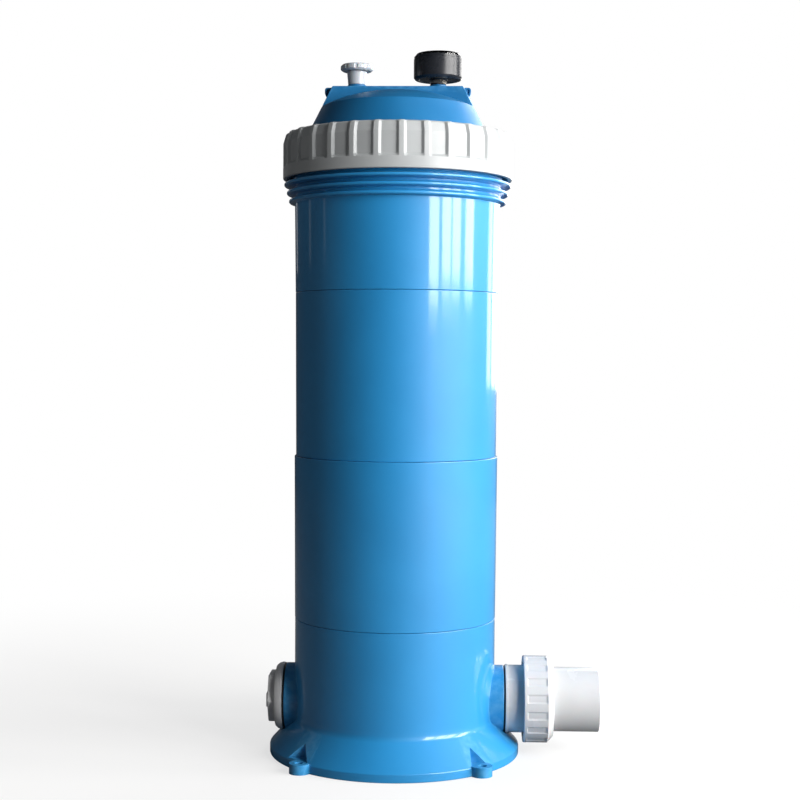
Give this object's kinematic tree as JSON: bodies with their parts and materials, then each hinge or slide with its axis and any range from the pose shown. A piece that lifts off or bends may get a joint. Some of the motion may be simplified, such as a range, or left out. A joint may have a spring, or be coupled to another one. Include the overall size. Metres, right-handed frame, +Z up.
{
  "type": "cartridge filter",
  "caption": "Upright pool and spa cartridge filter: ribbed lock ring over a domed lid with air valve and pressure gauge, pleated element inside, pipe unions and drain plug at the foot.",
  "frame": {"origin": "on the tank's axis at the floor, at the middle of the hub under the base", "axes": "+Z up along the tank's axis, +X out of the right-hand inlet union, +Y out of the return union at the back; the drain plug faces -X"},
  "size_m": [0.3307, 0.3283, 0.6946],
  "materials": {
    "tank_blue": "gloss moulded",
    "lid_blue": "gloss moulded",
    "ring_grey": "satin moulded",
    "washer_white": "satin moulded",
    "union_white": "semi-gloss moulded",
    "inner_white": "satin moulded",
    "seal_black": "matte rubber",
    "plug_grey": "satin moulded",
    "vent_white": "semi-gloss moulded",
    "element_cap": "cast polyurethane",
    "element_media": "pleated polyester felt",
    "gauge_black": "semi-gloss",
    "gauge_clear": "clear window",
    "gauge_brass": "machined",
    "dial_white": "printed",
    "pointer_red": "painted"
  },
  "bodies": {
    "tank": {"tank_base": "tank_blue", "tank_lower": "tank_blue", "tank_middle": "tank_blue", "tank_upper": "tank_blue", "outlet_elbow": "inner_white", "elbow_gasket": "seal_black", "port_gasket_right": "seal_black", "port_adaptor_right": "union_white", "union_oring_right": "seal_black", "port_gasket_rear": "seal_black", "port_adaptor_rear": "union_white", "union_oring_rear": "seal_black"},
    "element": {"cartridge_bottom_cap": "element_cap", "cartridge_core": "inner_white", "cartridge_media": "element_media", "cartridge_band_lower": "inner_white", "cartridge_band_upper": "inner_white", "cartridge_top_cap": "element_cap"},
    "lid": {"lid": "lid_blue", "lid_oring": "seal_black", "vent_body": "vent_white", "gauge_stem": "gauge_brass", "gauge_gasket": "seal_black", "gauge_case": "gauge_black", "gauge_lens": "gauge_clear", "gauge_dial": "dial_white", "bourdon_tube": "gauge_brass", "gauge_movement": "gauge_brass"},
    "slip_washer": {"thrust_washer": "washer_white"},
    "lock_ring": {"lock_ring": "ring_grey"},
    "vent_seal": {"vent_oring": "seal_black"},
    "vent_knob": {"vent_knob": "vent_white"},
    "gauge_pointer": {"gauge_pointer": "pointer_red", "gauge_spindle": "gauge_brass"},
    "gauge_sector": {"gauge_sector": "gauge_brass"},
    "tail_right": {"union_tail_right": "union_white"},
    "nut_right": {"union_nut_right": "union_white"},
    "tail_rear": {"union_tail_rear": "union_white"},
    "nut_rear": {"union_nut_rear": "union_white"},
    "drain_seal": {"drain_gasket": "seal_black"},
    "drain_plug": {"drain_plug": "plug_grey"}
  },
  "joints": [
    {"name": "element_lift", "type": "slide", "parent": "tank", "child": "element", "axis": [0, 0, 1], "range_m": [0, 0.52]},
    {"name": "lid_lift", "type": "slide", "parent": "element", "child": "lid", "axis": [0, 0, 1], "range_m": [0, 0.15]},
    {"name": "ring_lift", "type": "slide", "parent": "lid", "child": "slip_washer", "axis": [0, 0, 1], "range_m": [0, 0.02]},
    {"name": "ring_turn", "type": "hinge", "parent": "slip_washer", "child": "lock_ring", "pos_m": [0, 0, 0.59], "axis": [0, 0, 1], "range_deg": [0, 720.5]},
    {"name": "vent_lift", "type": "slide", "parent": "lid", "child": "vent_seal", "axis": [0, 0, 1], "range_m": [0, 0.003]},
    {"name": "vent_turn", "type": "hinge", "parent": "vent_seal", "child": "vent_knob", "pos_m": [-0.041, 0, 0.68], "axis": [0, 0, 1], "range_deg": [0, 720.5]},
    {"name": "pointer_turn", "type": "hinge", "parent": "lid", "child": "gauge_pointer", "pos_m": [0.0396, 0, 0.688], "axis": [0, 0, -1], "range_deg": [0, 270], "stiffness_Nm_per_rad": 0.0001},
    {"name": "sector_turn", "type": "hinge", "parent": "lid", "child": "gauge_sector", "pos_m": [0.0502, 0, 0.6837], "axis": [0, 0, 1], "range_deg": [0, 60]},
    {"name": "tail_right_slide", "type": "slide", "parent": "tank", "child": "tail_right", "axis": [1, 0, 0], "range_m": [0, 0.012]},
    {"name": "nut_right_turn", "type": "hinge", "parent": "tail_right", "child": "nut_right", "pos_m": [0.14, 0, 0.0526], "axis": [1, 0, 0], "range_deg": [0, 720.5]},
    {"name": "tail_rear_slide", "type": "slide", "parent": "tank", "child": "tail_rear", "axis": [0, 1, 0], "range_m": [0, 0.012]},
    {"name": "nut_rear_turn", "type": "hinge", "parent": "tail_rear", "child": "nut_rear", "pos_m": [0, 0.14, 0.0526], "axis": [0, 1, 0], "range_deg": [0, 720.5]},
    {"name": "drain_slide", "type": "slide", "parent": "tank", "child": "drain_seal", "axis": [-1, 0, 0], "range_m": [0, 0.012]},
    {"name": "drain_turn", "type": "hinge", "parent": "drain_seal", "child": "drain_plug", "pos_m": [-0.115, 0, 0.0526], "axis": [-1, 0, 0], "range_deg": [0, 1080.5]}
  ],
  "couplings": [
    {"joint": "ring_turn", "follows": "ring_lift", "rad_per_m": 628.32},
    {"joint": "vent_turn", "follows": "vent_lift", "rad_per_m": 4188.8},
    {"joint": "sector_turn", "follows": "pointer_turn", "ratio": 0.22},
    {"joint": "nut_right_turn", "follows": "tail_right_slide", "rad_per_m": 1047.2},
    {"joint": "nut_rear_turn", "follows": "tail_rear_slide", "rad_per_m": 1047.2},
    {"joint": "drain_turn", "follows": "drain_slide", "rad_per_m": 1570.8}
  ]
}
